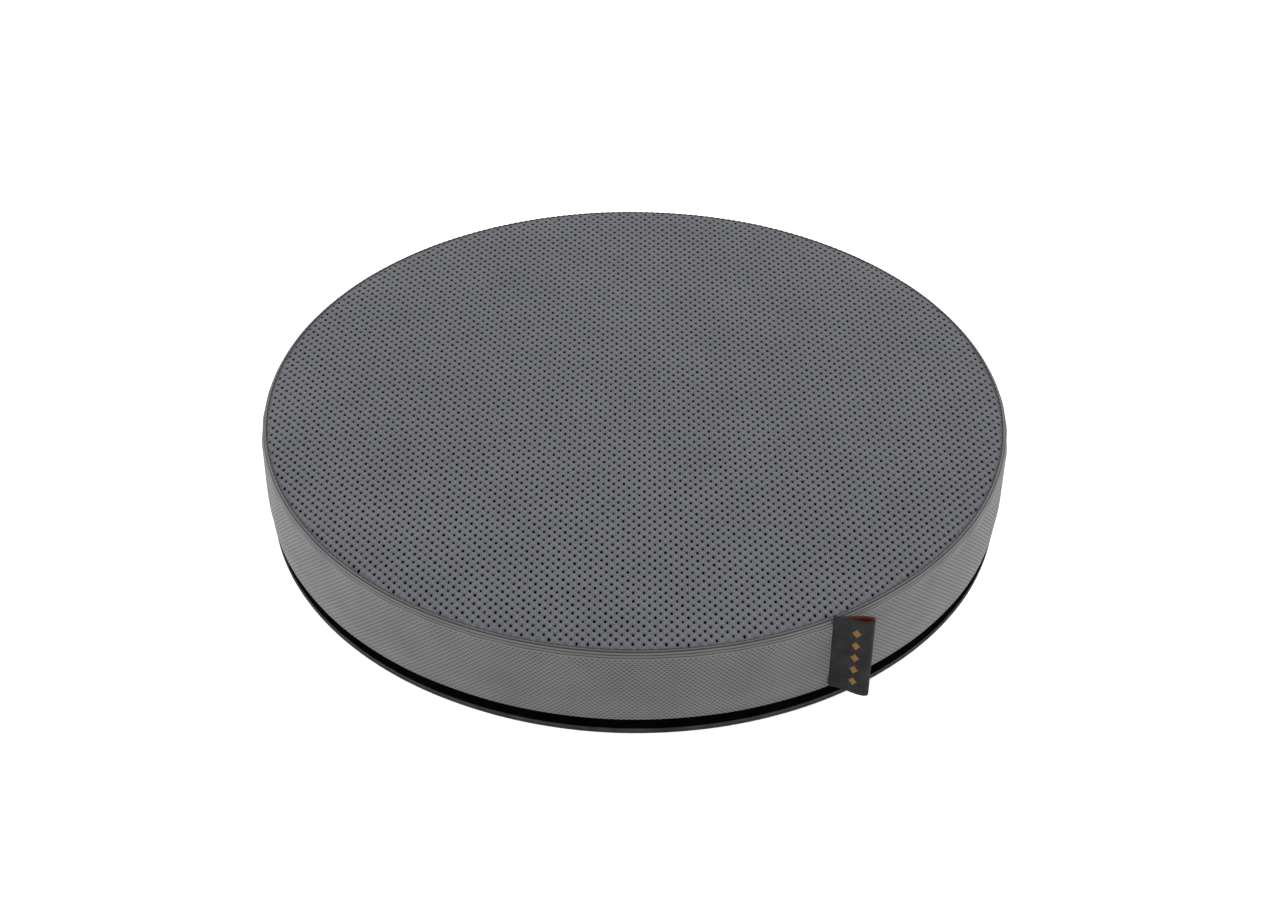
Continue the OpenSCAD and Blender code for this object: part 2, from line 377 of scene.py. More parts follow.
def moulded(name, dark, light, rough, coat=0.0, metal=0.0):
    """Moulded plastic, welded film or painted metal: fine grain, small scuffs and handling marks."""
    paint = Paint(name, Metallic=metal, Coat_Weight=coat, Coat_Roughness=0.25)
    scuffs = paint.noise(2.5 * MM, 6.0, paint.stretched((1, 1, 4)), 0.65)
    fine = paint.noise(0.8 * MM, 3.0)
    tone = paint.total((scuffs, 0.7), (fine, 0.3))
    paint.colour(paint.ramp(tone, (0.3, dark), (0.72, light)))
    paint.rough(paint.span(scuffs, rough - 0.1, rough + 0.18, 0.3, 0.7))
    return paint.bump(fine, 0.03 * MM, 0.5)


def grey(value):
    return (value, value, value)


# ---------------------------------------------------------------- mesh helpers
def finish_piece(name, points, faces, paints, body=None, slot=None, replaced=(), uvs=None, smooth=True):
    """Makes an object from points and faces, paints it, and hangs it on its body."""
    mesh = bpy.data.meshes.new(name)
    mesh.from_pydata([tuple(point) for point in points], [], [tuple(int(i) for i in face) for face in faces])
    mesh.validate()
    for paint in paints:
        mesh.materials.append(paint)
    mesh.polygons.foreach_set("use_smooth", [smooth] * len(mesh.polygons))
    if uvs is not None:
        layer = mesh.uv_layers.new(name="weave")
        layer.data.foreach_set("uv", np.asarray(uvs, dtype=float).ravel())
    piece = bpy.data.objects.new(name, mesh)
    bpy.context.scene.collection.objects.link(piece)
    if body:
        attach(piece, body)
    if replaced:
        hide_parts(*replaced)
    return piece


def grid_faces(rows, columns, join_rows, join_columns):
    """Quads of a grid of rows x columns points, whose last row or column may meet the first."""
    row = np.arange(rows if join_rows else rows - 1)
    column = np.arange(columns if join_columns else columns - 1)
    i, j = (part.ravel() for part in np.meshgrid(row, column, indexing="ij"))
    i2, j2 = (i + 1) % rows, (j + 1) % columns
    faces = np.stack([i * columns + j, i * columns + j2, i2 * columns + j2, i2 * columns + j], axis=1)
    steps = np.stack([np.stack([j, i], 1), np.stack([j + 1, i], 1), np.stack([j + 1, i + 1], 1),
                      np.stack([j, i + 1], 1)], axis=1)
    return faces, steps


def revolved(name, profile, columns, paints, spread=None, **where):
    """Sweeps a closed outline of (radius, height) round Z. spread(angle, height) moves it outwards."""
    profile = np.asarray(profile, dtype=float)
    angle = np.linspace(0, TURN, columns, endpoint=False)[None, :]
    radius, height = profile[:, :1], profile[:, 1:2]
    out = radius + (spread(angle, height) if spread else 0)
    points = np.stack([out * np.cos(angle), out * np.sin(angle), height + 0 * angle], axis=2)
    faces, steps = grid_faces(len(profile), columns, True, True)
    around = TURN * WIDE_R / MM / columns
    uvs = steps * np.array([around, 1.0])
    return finish_piece(name, points.reshape(-1, 3), faces, paints, uvs=uvs, **where)


def weld(piece):
    """Joins points that lie together, as at the middle of a disc, and drops the edges left without a face."""
    shape = bmesh.new()
    shape.from_mesh(piece.data)
    bmesh.ops.remove_doubles(shape, verts=shape.verts, dist=0.001 * MM)
    loose = [edge for edge in shape.edges if not edge.link_faces]
    bmesh.ops.delete(shape, geom=loose, context="EDGES")
    shape.to_mesh(piece.data)
    shape.free()
    return piece


def arc_points(centre, radius, start, end, steps):
    """Points (radius, height) of an arc in a profile, in degrees."""
    angles = np.radians(np.linspace(start, end, steps))
    return [(centre[0] + radius * math.cos(a), centre[1] + radius * math.sin(a)) for a in angles]


def smooth_step(value, start, end):
    t = np.clip((value - start) / (end - start), 0, 1)
    return t * t * (3 - 2 * t)


def outline_drift(angle, height=0.0):
    """How far the sewn cover stands off a true circle: slow lumps of a fraction of a millimetre."""
    slow = 0.14 * np.sin(3 * angle + 0.4) + 0.10 * np.sin(5 * angle + 2.1)
    lumps = 0.07 * np.sin(11 * angle + 1.3) + 0.04 * np.sin(23 * angle + 0.7)
    return (slow + lumps) * MM * (0.8 + 0.2 * np.cos(height / (12 * MM)))


# ---------------------------------------------------------------- how the cover swells
class Swell:
    """How far the filled cover stands out, from a cloth simulation of a coarse, closed copy of it."""

    limit = 0.6 * MM
    voxel = 6 * MM
    frames = 20
    pressure = 4
    quality = 5

    def __init__(self):
        self.reach = WIDE_R
        self.top_grid = np.zeros((61, 61))
        self.side_grid = np.zeros((13, 96))
        self.simulate()

    def simulate(self):
        """Swells the copy with its seam and its foot held, then reads its top and its side."""
        self.puck_r, self.puck_low, self.puck_top = SEAT_R, BAND_LOW, SEAT_FLAT
        profile = [(0, self.puck_low), (self.puck_r, self.puck_low), (self.puck_r, self.puck_top),
                   (0, self.puck_top)]
        puck = weld(revolved("swelling_copy", profile, 96, []))
        self.remesh(puck)
        start = self.points(puck.data)
        radius = np.hypot(start[:, 0], start[:, 1])
        seam = (radius > self.puck_r - self.voxel) & (start[:, 2] > self.puck_top - self.voxel / 2)
        foot = start[:, 2] < self.puck_low + self.voxel / 2
        held = puck.vertex_groups.new(name="held")
        held.add([int(i) for i in np.flatnonzero(seam | foot)], 1.0, "REPLACE")
        moved = self.run_cloth(puck) - start
        length = np.linalg.norm(moved, axis=1, keepdims=True)
        shares = self.limit * np.tanh(length / self.limit) / np.maximum(length, 1e-9)
        faces = [tuple(face.vertices) for face in puck.data.polygons]
        before = BVHTree.FromPolygons([tuple(point) for point in start], faces)
        after = BVHTree.FromPolygons([tuple(point) for point in start + moved * shares], faces)
        bpy.data.objects.remove(puck, do_unlink=True)
        self.read_top(before, after)
        self.read_side(before, after)

    def remesh(self, puck):
        modifier = puck.modifiers.new("even", "REMESH")
        modifier.mode = "VOXEL"
        modifier.voxel_size = self.voxel
        self.apply(puck)

    def run_cloth(self, puck):
        cloth = puck.modifiers.new("swell", "CLOTH")
        settings = cloth.settings
        settings.use_pressure = True
        settings.uniform_pressure_force = self.pressure
        settings.effector_weights.gravity = 0
        settings.vertex_group_mass = "held"
        settings.quality = self.quality
        scene = bpy.context.scene
        for frame_number in range(1, self.frames + 1):
            scene.frame_set(frame_number)
        self.apply(puck)
        scene.frame_set(1)
        return self.points(puck.data)

    def apply(self, puck):
        """Turns the evaluated shape of puck into its own mesh and takes its modifiers away."""
        shape = bpy.data.meshes.new_from_object(puck.evaluated_get(bpy.context.evaluated_depsgraph_get()))
        puck.modifiers.clear()
        puck.data = shape

    def points(self, mesh):
        flat = np.empty(len(mesh.vertices) * 3)
        mesh.vertices.foreach_get("co", flat)
        return flat.reshape(-1, 3)

    def read_top(self, before, after):
        """How far each spot of the top rises between the two surfaces."""
        spots = np.linspace(-self.reach, self.reach, self.top_grid.shape[0])
        for j, y in enumerate(spots):
            for i, x in enumerate(spots):
                above, down = Vector((x, y, 1)), Vector((0, 0, -1))
                start, end = (tree.ray_cast(above, down)[0] for tree in (before, after))
                if start and end and math.hypot(x, y) < self.puck_r - self.voxel:
                    self.top_grid[j, i] = end.z - start.z

    def read_side(self, before, after):
        """How far each spot of the side moves outwards between the two surfaces."""
        rows, columns = self.side_grid.shape
        for j, height in enumerate(np.linspace(self.puck_low, self.puck_top, rows)[1:-1], start=1):
            for i in range(columns):
                angle = TURN * i / columns
                way = Vector((math.cos(angle), math.sin(angle), 0))
                outside = way + Vector((0, 0, height))
                start, end = (tree.ray_cast(outside, -way)[0] for tree in (before, after))
                if start and end:
                    self.side_grid[j, i] = math.hypot(end.x, end.y) - math.hypot(start.x, start.y)

    def blend_grid(self, grid, u, v, wrap=False):
        """Smooth values of a grid at row v and column u, both counted in cells."""
        rows, columns = grid.shape
        i, j = np.floor(u).astype(int), np.floor(v).astype(int)
        fu, fv = u - i, v - j
        if wrap:
            i, i2 = i % columns, (i + 1) % columns
        else:
            i, i2 = np.clip(i, 0, columns - 1), np.clip(i + 1, 0, columns - 1)
        j, j2 = np.clip(j, 0, rows - 1), np.clip(j + 1, 0, rows - 1)
        near = grid[j, i] * (1 - fu) + grid[j, i2] * fu
        far = grid[j2, i] * (1 - fu) + grid[j2, i2] * fu
        return near * (1 - fv) + far * fv

    def top(self, x, y):
        cells = (self.top_grid.shape[0] - 1) / (2 * self.reach)
        return self.blend_grid(self.top_grid, (x + self.reach) * cells, (y + self.reach) * cells)

    def side(self, angle, height):
        rows, columns = self.side_grid.shape
        share = (height - BAND_LOW) / (SEAT_FLAT - BAND_LOW)
        angle, share = np.broadcast_arrays(angle, share)
        return self.blend_grid(self.side_grid, angle / TURN * columns, share * (rows - 1), wrap=True)


# ---------------------------------------------------------------- perforated seat fabric
# The holes' spacing along a row and between rows, their half width and half length, and the knit's ribs
HOLE_PITCH = 4.72 * MM
HOLE_ROW = 2.72 * MM
HOLE_WIDE = 0.58 * MM
HOLE_LONG = 1.04 * MM
WALE = 0.786 * MM
COURSE = 0.544 * MM
FABRIC_T = 0.7 * MM
CORNER_UP = (HOLE_PITCH ** 2 / 4 + HOLE_ROW ** 2) / 2 / HOLE_ROW


def seat_height(x, y):
    """The seat is almost flat, a little higher towards the rim, and dips into the seam."""
    radius, angle = np.hypot(x, y), np.arctan2(y, x)
    rise = 0.5 * MM * smooth_step(radius, 0.82 * SEAT_R, 0.97 * SEAT_R)
    dip = 0.7 * MM * smooth_step(radius, SEAT_R - 2.6 * MM, SEAT_R)
    pucker = 0.12 * MM * smooth_step(radius, SEAT_R - 14 * MM, SEAT_R - 3 * MM)
    pucker = pucker * np.sin(61 * angle + 2 * np.sin(5 * angle))
    sway = 0.1 * MM * np.sin(x / (31 * MM) + 0.8) * np.cos(y / (26 * MM) + 0.3)
    sway = sway + 0.04 * MM * np.sin((x + y) / (9 * MM))
    return SEAT_FLAT - 0.3 * MM + rise - dip + pucker + sway + swell.top(x, y)


def seat_cells():
    """Centres of the holes, in staggered rows, as (half pitches across, rows)."""
    wide = int(SEAT_R / (HOLE_PITCH / 2)) + 2
    deep = int(SEAT_R / HOLE_ROW) + 2
    across, rows = np.meshgrid(np.arange(-wide, wide + 1), np.arange(-deep, deep + 1))
    centres = np.stack([across.ravel(), rows.ravel()], axis=1)
    return centres[(centres.sum(axis=1) % 2) == 0]


def follow_seam(points):
    """Moves points near the rim out and in with the seam, which is not a true circle."""
    radius, angle = np.hypot(points[:, 0], points[:, 1]), np.arctan2(points[:, 1], points[:, 0])
    share = smooth_step(radius, 0.85 * SEAT_R, SEAT_R) * outline_drift(angle, BAND_TOP)
    points[:, 0] += share * np.cos(angle)
    points[:, 1] += share * np.sin(angle)
    return points


class FabricCells:
    """One six-sided cell of fabric round each hole, so that the holes are open, with rolled rims."""

    edge = SEAT_R - 0.25 * MM
    half, corner = HOLE_PITCH / 2, HOLE_ROW - CORNER_UP
    ring = [(0, 1, -1), (1, 0, 1), (1, 0, -1), (0, -1, 1), (-1, 0, -1), (-1, 0, 1)]
    hole = [(0, 1), (1, 0.45), (1, -0.45), (0, -1), (-1, -0.45), (-1, 0.45)]

    def __init__(self):
        self.points, self.faces, self.shades, self.index = [], [], [], {}
        for i, j in seat_cells():
            corners = [(i + di, j + dj, side) for di, dj, side in self.ring]
            if min(math.hypot(*self.corner_spot(*key)) for key in corners) >= self.edge - 0.05 * MM:
                continue
            outer = [self.corner_point(*key) for key in corners]
            if math.hypot(i * self.half, j * HOLE_ROW) > self.edge - 1.15 * MM:
                self.faces.append(outer[::-1])
                self.shades.append(0)
            else:
                self.open_cell(i, j, outer)

    def corner_spot(self, i, j, side):
        """Where the corner beside the lattice point (i, j) lies, above it or below it."""
        return i * self.half, j * HOLE_ROW + side * self.corner

    def corner_point(self, *key):
        """The number of a corner that cells share, pulled in to the seat's edge if it is past it."""
        if key not in self.index:
            x, y = self.corner_spot(*key)
            pull = min(1.0, self.edge / max(math.hypot(x, y), 1e-9))
            self.index[key] = len(self.points)
            self.points.append((x * pull, y * pull, 0.0))
        return self.index[key]

    def open_cell(self, i, j, outer):
        """Fabric from the cell's corners in to a hole, and down its wall. No two holes are quite alike."""
        drift = 0.09 * MM
        x = i * self.half + drift * math.sin(3.1 * i + 1.7 * j)
        y = j * HOLE_ROW + drift * math.sin(1.3 * i - 2.3 * j)
        size = 1 + 0.12 * math.sin(5.3 * i + 3.7 * j)
        rims = []
        for depth, grow in ((0.14 * MM, 1.0), (FABRIC_T, 0.92)):
            rims.append(range(len(self.points), len(self.points) + 6))
            self.points.extend((x + u * HOLE_WIDE * size * grow, y + v * HOLE_LONG * size * grow, -depth)
                               for u, v in self.hole)
        for k in range(6):
            n = (k + 1) % 6
            self.faces.append((outer[n], outer[k], rims[0][k], rims[0][n]))
            self.faces.append((rims[0][n], rims[0][k], rims[1][k], rims[1][n]))
            # The wall faces get material 1, a dark cloth that is painted shade inside the holes.
            self.shades.extend((0, 1))


def make_seat_fabric(paint, wall_shade_paint):
    cells = FabricCells()
    points = follow_seam(np.array(cells.points))
    points[:, 2] += seat_height(points[:, 0], points[:, 1])
    fabric = finish_piece("seat_fabric", points, cells.faces, [paint, wall_shade_paint],
                          body="seat", slot="mesh_fabric", replaced=("mesh_top",))
    fabric.data.polygons.foreach_set("material_index", cells.shades)


def disc_grid(radius, rings, columns):
    """Points and faces of a flat disc of rings round a centre point."""
    angle = np.linspace(0, TURN, columns, endpoint=False)
    share = np.sqrt(np.linspace(0, 1, rings + 1)[1:])
    points = [(0.0, 0.0)]
    points += [(radius * s * math.cos(a), radius * s * math.sin(a)) for s in share for a in angle]
    faces = [(0, 1 + k, 1 + (k + 1) % columns) for k in range(columns)]
    for r in range(rings - 1):
        base, upper = 1 + r * columns, 1 + (r + 1) * columns
        for k in range(columns):
            n = (k + 1) % columns
            faces.append((base + k, upper + k, upper + n, base + n))
    return np.array(points), faces


def make_liner(paint):
    """Black cloth just under the seat fabric, following its shape."""
    columns, gap, thickness = 120, 0.75 * MM, 0.35 * MM
    flat, faces = disc_grid(SEAT_R - 1.2 * MM, 16, columns)
    top = seat_height(flat[:, 0], flat[:, 1]) - FABRIC_T - gap
    upper = np.column_stack([flat, top])
    lower = upper - np.array([0, 0, thickness])
    count = len(flat)
    first = count - columns
    rim = [(first + k, first + (k + 1) % columns) for k in range(columns)]
    sides = [(a, a + count, b + count, b) for a, b in rim]
    under = [tuple(i + count for i in face[::-1]) for face in faces]
    return finish_piece("liner_cloth", np.vstack([upper, lower]), faces + under + sides, [paint], body="seat",
                        slot="liner_fabric", replaced=("liner",))


def make_allowance(paint):
    """The side fabric's edge, turned in under the seat fabric, seen as paler holes near the rim."""
    columns, inner, outer = 240, SEAT_R - 13.2 * MM, SEAT_R - 4.6 * MM
    angle = np.linspace(0, TURN, columns, endpoint=False)
    frayed = 0.7 * MM * np.sin(17 * angle) + 0.4 * MM * np.sin(41 * angle + 1.1)
    rings = []
    for radius, drop in ((inner, 0.0), (outer, 0.0), (outer, 0.5 * MM), (inner, 0.5 * MM)):
        r = radius + frayed
        x, y = r * np.cos(angle), r * np.sin(angle)
        z = seat_height(x, y) - FABRIC_T - 0.2 * MM - drop
        rings.append(np.stack([x, y, z], axis=1))
    faces, steps = grid_faces(4, columns, True, True)
    uvs = steps[:, ::-1] * np.array([TURN * WIDE_R / MM / columns / 2.45, 2.0])
    return finish_piece("seam_allowance", np.vstack(rings), faces[:, ::-1], [paint], body="seat",
                        slot="band_fabric", uvs=uvs)


# ---------------------------------------------------------------- side band
def band_inset(height):
    """How far the band's outer face stands in from its widest radius, at each height."""
    share = (height - BAND_LOW) / (BAND_TOP - BAND_LOW)
    foot = 1.0 * MM * (1 - smooth_step(share, 0.0, 0.35)) ** 1.5
    shoulder = np.clip((height - (BAND_TOP - 5.5 * MM)) / (5.5 * MM), 0, 1)
    roll = 2.0 * MM * (1 - np.sqrt(np.clip(1 - shoulder ** 2.2, 0, 1)))
    return foot + roll


def band_surface():
    """Points, true normals and weave coordinates of the whole outer face, row by row."""
    columns = DIMPLES_ROUND * STEPS_PER_DIMPLE
    step = DIMPLE_ROW / STEPS_PER_DIMPLE
    rows = int(round((BAND_TOP - BAND_LOW) / step)) + 1
    height = np.linspace(BAND_LOW, BAND_TOP, rows)[:, None]
    angle = np.linspace(0, TURN, columns, endpoint=False)[None, :]
    across = (height - BAND_LOW) / DIMPLE_ROW
    pattern = np.cos(angle * DIMPLES_ROUND) * np.cos(across * TURN)
    flat_edge = smooth_step(height, BAND_LOW, BAND_LOW + 1.2 * MM) * (
        1 - smooth_step(height, BAND_TOP - 6 * MM, BAND_TOP - 4.4 * MM))
    dimple = DIMPLE_DEPTH * np.clip(pattern, 0, 1) ** 1.2 * flat_edge
    near_seam = smooth_step(height, BAND_TOP - 11 * MM, BAND_TOP - 4 * MM) * (
        1 - smooth_step(height, BAND_TOP - 4 * MM, BAND_TOP))
    pucker = 0.16 * MM * near_seam * np.sin(53 * angle + 2.2 * np.sin(4 * angle) + 0.5)
    swollen = swell.side(angle, height)
    radius = WIDE_R - 0.25 * MM - band_inset(height) - dimple + pucker + swollen
    radius = radius + outline_drift(angle, height)
    points = np.stack([radius * np.cos(angle), radius * np.sin(angle), height + 0 * angle], axis=2)
    up = np.gradient(points, axis=0)
    along = (np.roll(points, -1, axis=1) - np.roll(points, 1, axis=1)) / 2
    normals = np.cross(along, up)
    normals /= np.linalg.norm(normals, axis=2, keepdims=True)
    return points, normals


def make_side_band(paint):
    """The band in three rings, one for each joint, which meet edge to edge."""
    outer, normals = band_surface()
    rows, columns = outer.shape[:2]
    cuts = [int(round(share * (rows - 1))) for share in BAND_SHARES]
    pieces = []
    for name, start, end, pair in zip(("side_band_low", "side_band_middle", "side_band_high"),
                                      cuts, cuts[1:], BODY_PAIRS):
        face = outer[start:end + 1]
        picked = sorted(set(range(len(face) - 1, -1, -6)) | {0}, reverse=True)
        back = face[picked] * np.array([1 - BAND_T / WIDE_R, 1 - BAND_T / WIDE_R, 1])
        back[:, :, 2] -= 2 * MM * smooth_step(back[:, :, 2], BAND_TOP - 5 * MM, BAND_TOP)
        points = np.concatenate([face, back])
        faces, steps = grid_faces(len(points), columns, True, True)
        uvs = (steps + np.array([0, start])) / STEPS_PER_DIMPLE
        piece = finish_piece(name, points.reshape(-1, 3), faces, [paint], slot="band_fabric",
                             replaced=("side_band",), uvs=uvs)
        set_normals(piece, normals[start:end + 1].reshape(-1, 3))
        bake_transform(piece)
        pieces.append(piece)
    return pieces


def set_normals(piece, wanted):
    """Gives the first points of a mesh their true normals, so that the rings' edges shade as one."""
    normals = np.empty(len(piece.data.vertices) * 3)
    piece.data.vertices.foreach_get("normal", normals)
    normals = normals.reshape(-1, 3)
    normals[:len(wanted)] = wanted
    piece.data.normals_split_custom_set_from_vertices([tuple(n) for n in normals])


# ---------------------------------------------------------------- seams and stitches
def capsules(name, paths, radius, paint, sides=6, **where):
    """One small tube with rounded ends along each path of points."""
    points, faces = [], []
    for path in paths:
        path = np.asarray(path)
        ahead = np.gradient(path, axis=0)
        ahead /= np.linalg.norm(ahead, axis=1, keepdims=True)
        side = np.cross(ahead, (0, 0, 1.0))
        flat = np.linalg.norm(side, axis=1) < 1e-6
        side[flat] = (1.0, 0, 0)
        side /= np.linalg.norm(side, axis=1, keepdims=True)
        lift = np.cross(side, ahead)
        widths = np.array([0.45] + [1.0] * (len(path) - 2) + [0.45]) * radius
        first = len(points)
        for point, s, u, r in zip(path, side, lift, widths):
            for k in range(sides):
                a = TURN * k / sides
                points.append(point + r * (math.cos(a) * s + math.sin(a) * u))
        for i in range(len(path) - 1):
            for k in range(sides):
                n = (k + 1) % sides
                a, b = first + i * sides, first + (i + 1) * sides
                faces.append((a + k, b + k, b + n, a + n))
        last = first + (len(path) - 1) * sides
        faces.append(tuple(first + k for k in range(sides)))
        faces.append(tuple(last + sides - 1 - k for k in range(sides)))
    return finish_piece(name, points, faces, [paint], **where)


def ring_stitches(radius, height, stitch, gap, sink):
    """Paths of lockstitches round a circle, each dipping at both ends."""
    count = int(TURN * radius / (stitch + gap))
    share = stitch / (stitch + gap)
    paths = []
    for k in range(count):
        angles = (k + np.linspace(0, share, 5)) * TURN / count
        drop = sink * np.array([1, 0.25, 0, 0.25, 1])
        r = radius + outline_drift(angles, BAND_TOP)
        z = height + 0.08 * MM * np.sin(7 * angles) - drop
        paths.append(np.column_stack([r * np.cos(angles), r * np.sin(angles), z]))
    return paths


def make_top_seam(paint):
    paths = ring_stitches(SEAM_R, BAND_TOP + 0.1 * MM, 2.7 * MM, 0.35 * MM, 0.25 * MM)
    capsules("top_seam_stitches", paths, 0.3 * MM, paint, body="seat", slot="thread", replaced=("top_seam",))


# ---------------------------------------------------------------- foot: hem, black strip and zip
def hem_profile():
    """Two soft rolls, one on the other, with a groove between them."""
    roll = HEM_TOP / 4
    inner = -low("hem_binding")[0] - 1.5 * MM
    upper = arc_points((HEM_R - roll, HEM_TOP - roll), roll, -60, 90, 9)
    lower = arc_points((HEM_R - roll + 0.1 * MM, roll), roll, -90, 60, 9)
    return lower + upper + [(inner, HEM_TOP), (inner, 0.0)]


class Shape:
    """Collects the points and faces of one piece that is made of several closed forms."""

    def __init__(self, turn=0.0):
        self.points, self.faces, self.turn = [], [], turn

    def add(self, points, faces):
        first = len(self.points)
        spin = Matrix.Rotation(self.turn, 3, "Z")
        self.points.extend(spin @ Vector(point) for point in points)
        self.faces.extend(tuple(first + i for i in face) for face in faces)

    def plate(self, outline, depth, corner, lift=0.0, hole=None):
        """A plate in the Y-Z plane with softened edges, its outline (y, z) running anticlockwise from +X."""
        levels = [(0, corner), (corner * 0.3, corner * 0.3), (corner, 0),
                  (depth - corner, 0), (depth - corner * 0.3, corner * 0.3), (depth, corner)]
        count = len(outline)
        far = (len(levels) - 1) * count
        around = [(a + k, a + (k + 1) % count) for a in range(0, far, count) for k in range(count)]
        points = self.layers(outline, levels, lift, -1)
        faces = [(a, b, b + count, a + count) for a, b in around]
        if hole is None:
            faces.append(tuple(reversed(range(count))))
            faces.append(tuple(range(far, far + count)))
        else:
            inner = len(points)
            points = points + self.layers(hole, levels, lift, 1)
            faces += [(inner + count + a, inner + count + b, inner + b, inner + a) for a, b in around]
            for k in range(count):
                n = (k + 1) % count
                faces.append((k, inner + k, inner + n, n))
                faces.append((far + n, inner + far + n, inner + far + k, far + k))
        self.add(points, faces)

    def layers(self, outline, levels, lift, side):
        """The outline at each (depth, inset), moved towards its middle, or away from it where side is 1."""
        flat = np.asarray(outline, dtype=float)
        middle = flat.mean(axis=0)
        ways = flat - middle
        ways /= np.maximum(np.linalg.norm(ways, axis=1, keepdims=True), 1e-9)
        points = []
        for depth, inset in levels:
            points.extend((lift + depth, y, z) for y, z in flat + side * inset * ways)
        return points

    def lathe(self, profile, centre, columns=20):
        """A closed form of (radius, height) swept round an upright axis through centre."""
        profile = np.asarray(profile, dtype=float)
        points = []
        for radius, height in profile:
            for k in range(columns):
                a = TURN * k / columns
                points.append((centre[0] + radius * math.cos(a), centre[1] + radius * math.sin(a),
                               centre[2] + height))
        faces = grid_faces(len(profile), columns, True, True)[0]
        self.add(points, [tuple(int(i) for i in face) for face in faces])


def rounded_outline(wide, tall, corner, steps=5):
    """A rectangle (y, z) about its middle with rounded corners."""
    outline = []
    for cy, cz, start in ((1, 1, 0), (-1, 1, 90), (-1, -1, 180), (1, -1, 270)):
        centre = (cy * (wide / 2 - corner), cz * (tall / 2 - corner))
        outline.extend(arc_points(centre, corner, start, start + 90, steps))
    return outline


def raised(outline, height):
    return [(y, z + height) for y, z in outline]


def make_zip(tape_paint, coil_paint, metal_paint):
    """Tapes and stops keep their CAD shapes. The coils get teeth, the slider and pull soft edges."""
    for node, paint in (("front_strip", tape_paint), ("zip_tape_lower", tape_paint),
                        ("zip_tape_upper", tape_paint), ("zip_end_stops", metal_paint)):
        repaint(node, paint)
    make_coil("zip_teeth_lower", "zip_coil_lower", -1, coil_paint)
    make_coil("zip_teeth_upper", "zip_coil_upper", 1, coil_paint)
    make_slider(metal_paint)
    make_pull(metal_paint)


def make_coil(name, node, side, paint):
    """A spiral of monofilament with one turn to a tooth, wound back and forth along the tape's edge."""
    pitch, wire = 1.3 * MM, 0.2 * MM
    middle_z = (low(node)[2] + high(node)[2]) / 2
    half_tall = (high(node)[2] - low(node)[2]) / 2 - wire
    half_deep = 0.65 * MM - wire
    radius = PULL_R - 4.25 * MM
    start, end = (math.radians(angle) for angle in (14.0, 165.5))
    turns = int((end - start) * radius / pitch)
    paths = []
    steps = 8
    for part in np.array_split(np.arange(turns * steps + 1), 12):
        t = np.append(part, part[-1] + 1) / steps
        angle = start + (end - start) * t / turns
        r = radius + half_deep * np.cos(TURN * t)
        z = middle_z + side * half_tall * np.sin(TURN * t)
        paths.append(np.column_stack([r * np.cos(angle), r * np.sin(angle), z]))
    capsules(name, paths, wire, paint, sides=5, body="base", slot="zip_coil", replaced=(node,))


def make_slider(paint):
    """Outer and inner plate, the neck between them, and two lugs that hold the pull's pin."""
    shape = Shape(turn=PULL_TURN)
    tall = high("zip_slider")[2] - low("zip_slider")[2]
    plate_in, plate_out, plate_t = PULL_R - 6.3 * MM, PULL_R - 2.4 * MM, 1.2 * MM
    plate = [(y, z * (1 - 0.22 * smooth_step(y, 1 * MM, 5.5 * MM)))
             for y, z in rounded_outline(11 * MM, tall, 2.0 * MM, 7)]
    plate = raised(plate, ZIP_Z)
    shape.plate(plate, plate_t, 0.4 * MM, plate_out)
    shape.plate(plate, plate_t, 0.4 * MM, plate_in)
    neck = raised(rounded_outline(3 * MM, 0.5 * MM, 0.2 * MM), ZIP_Z)
    shape.plate(neck, plate_out - plate_in - plate_t + 0.4 * MM, 0.05 * MM, plate_in + plate_t - 0.2 * MM)
    for side in (-1, 1):
        lug = raised(rounded_outline(2.4 * MM, 0.8 * MM, 0.35 * MM), ZIP_Z + side * (tall / 2 - 0.4 * MM))
        shape.plate(lug, 3.3 * MM, 0.2 * MM, plate_out)
    pin = [(0.15 * MM, -tall / 2 + 0.05 * MM), (0.5 * MM, -tall / 2 + 0.3 * MM),
           (0.5 * MM, tall / 2 - 0.3 * MM), (0.15 * MM, tall / 2 - 0.05 * MM)]
    shape.lathe(pin, (PULL_R, 0, ZIP_Z))
    finish_piece("zip_slider_body", shape.points, shape.faces, [paint], body="slider", slot="zip_metal",
                 replaced=("zip_slider",))


def make_pull(paint):
    """A barrel round the pin and a tab that widens a little to its eye, with a raised rim."""
    shape = Shape(turn=PULL_TURN)
    tall, reach = 4.3 * MM, 17.85 * MM
    steps = 48
    angles = np.linspace(0, TURN, steps, endpoint=False)
    outline, hole = [], []
    for a in angles:
        y, z = math.cos(a), math.sin(a)
        stretch = (reach - 1.6 * MM) / 2
        shift = stretch if y > 0 else -stretch
        outline.append((-reach / 2 - 0.4 * MM + shift + y * tall / 2 * 0.8, ZIP_Z + z * tall / 2))
        hole.append((-reach + y * tall / 4, ZIP_Z + z * tall / 4))
    shape.plate(outline, 1.0 * MM, 0.25 * MM, PULL_R - 0.5 * MM, hole=hole)
    barrel = [(0.6 * MM, -tall / 2), (0.9 * MM, -tall / 2), (1.05 * MM, -tall / 2 + 0.15 * MM),
              (1.05 * MM, tall / 2 - 0.15 * MM), (0.9 * MM, tall / 2), (0.6 * MM, tall / 2)]
    shape.lathe(barrel, (PULL_R, 0, ZIP_Z), 28)
    finish_piece("zip_pull_tab", shape.points, shape.faces, [paint], body="pull", slot="zip_metal",
                 replaced=("zip_pull",))


